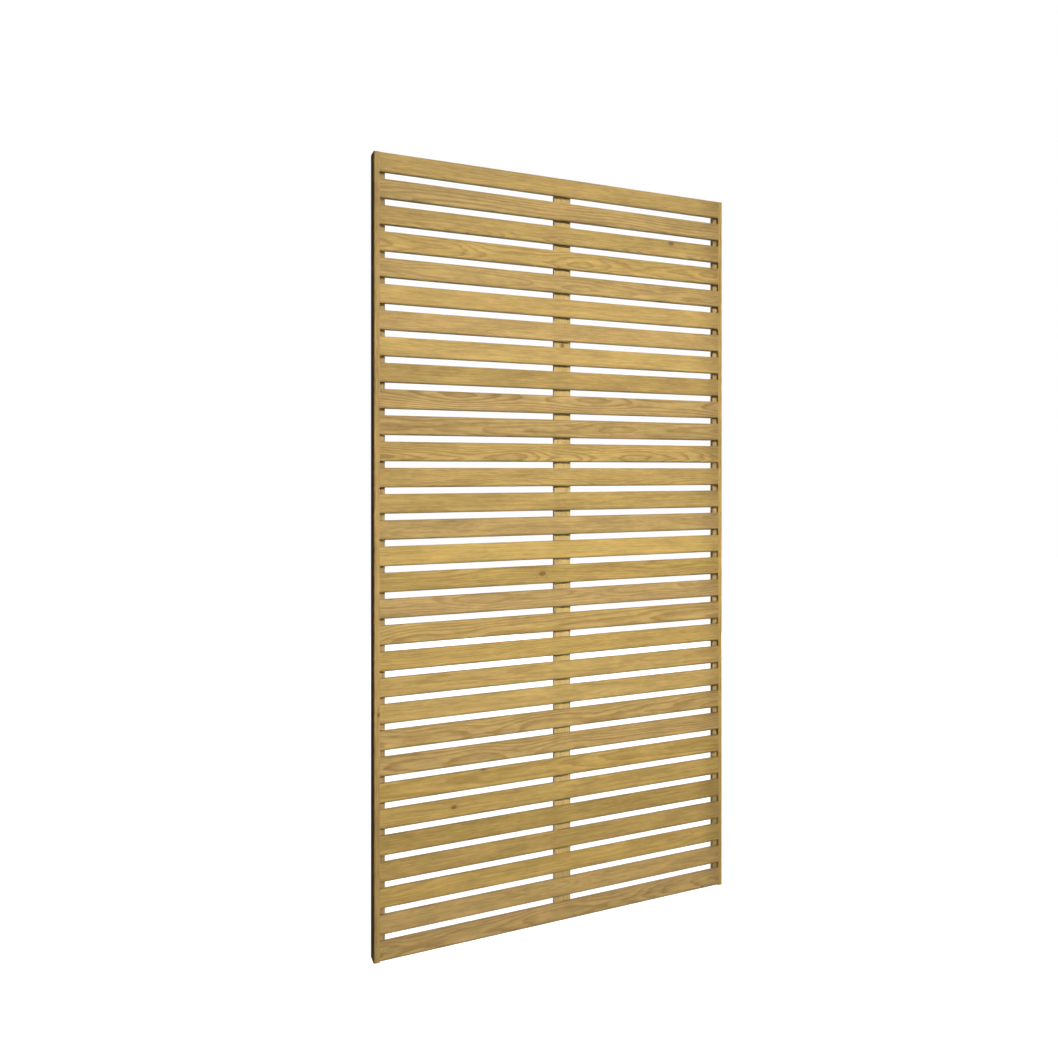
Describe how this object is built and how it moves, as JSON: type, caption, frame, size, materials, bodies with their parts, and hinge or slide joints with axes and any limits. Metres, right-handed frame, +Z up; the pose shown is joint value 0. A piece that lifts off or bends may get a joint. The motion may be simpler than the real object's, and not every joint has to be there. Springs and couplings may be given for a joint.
{
  "type": "slatted trellis panel",
  "caption": "Tall timber trellis panel: close horizontal slats on three upright battens, flush between deep edge strips, for fixing between posts or to a wall.",
  "frame": {"origin": "under the middle of the panel, level with the foot of the edge strips", "axes": "+X across the panel to the right as seen from the face, +Y from the face to the back, +Z up"},
  "size_m": [0.9, 0.04, 1.8],
  "materials": {
    "slat_timber": "planed pressure-treated softwood, matt",
    "frame_timber": "planed pressure-treated softwood, matt",
    "staple_steel": "galvanised wire"
  },
  "bodies": {
    "root": {"left_edge": "frame_timber", "right_edge": "frame_timber", "left_batten": "frame_timber", "centre_batten": "frame_timber", "right_batten": "frame_timber", "slat_01": "slat_timber", "slat_02": "slat_timber", "slat_03": "slat_timber", "slat_04": "slat_timber", "slat_05": "slat_timber", "slat_06": "slat_timber", "slat_07": "slat_timber", "slat_08": "slat_timber", "slat_09": "slat_timber", "slat_10": "slat_timber", "slat_11": "slat_timber", "slat_12": "slat_timber", "slat_13": "slat_timber", "slat_14": "slat_timber", "slat_15": "slat_timber", "slat_16": "slat_timber", "slat_17": "slat_timber", "slat_18": "slat_timber", "slat_19": "slat_timber", "slat_20": "slat_timber", "slat_21": "slat_timber", "slat_22": "slat_timber", "slat_23": "slat_timber", "slat_24": "slat_timber", "slat_25": "slat_timber", "slat_26": "slat_timber", "slat_27": "slat_timber", "slat_28": "slat_timber", "slat_29": "slat_timber", "slat_30": "slat_timber", "slat_31": "slat_timber", "left_staples": "staple_steel", "centre_staples": "staple_steel", "right_staples": "staple_steel"}
  },
  "joints": []
}
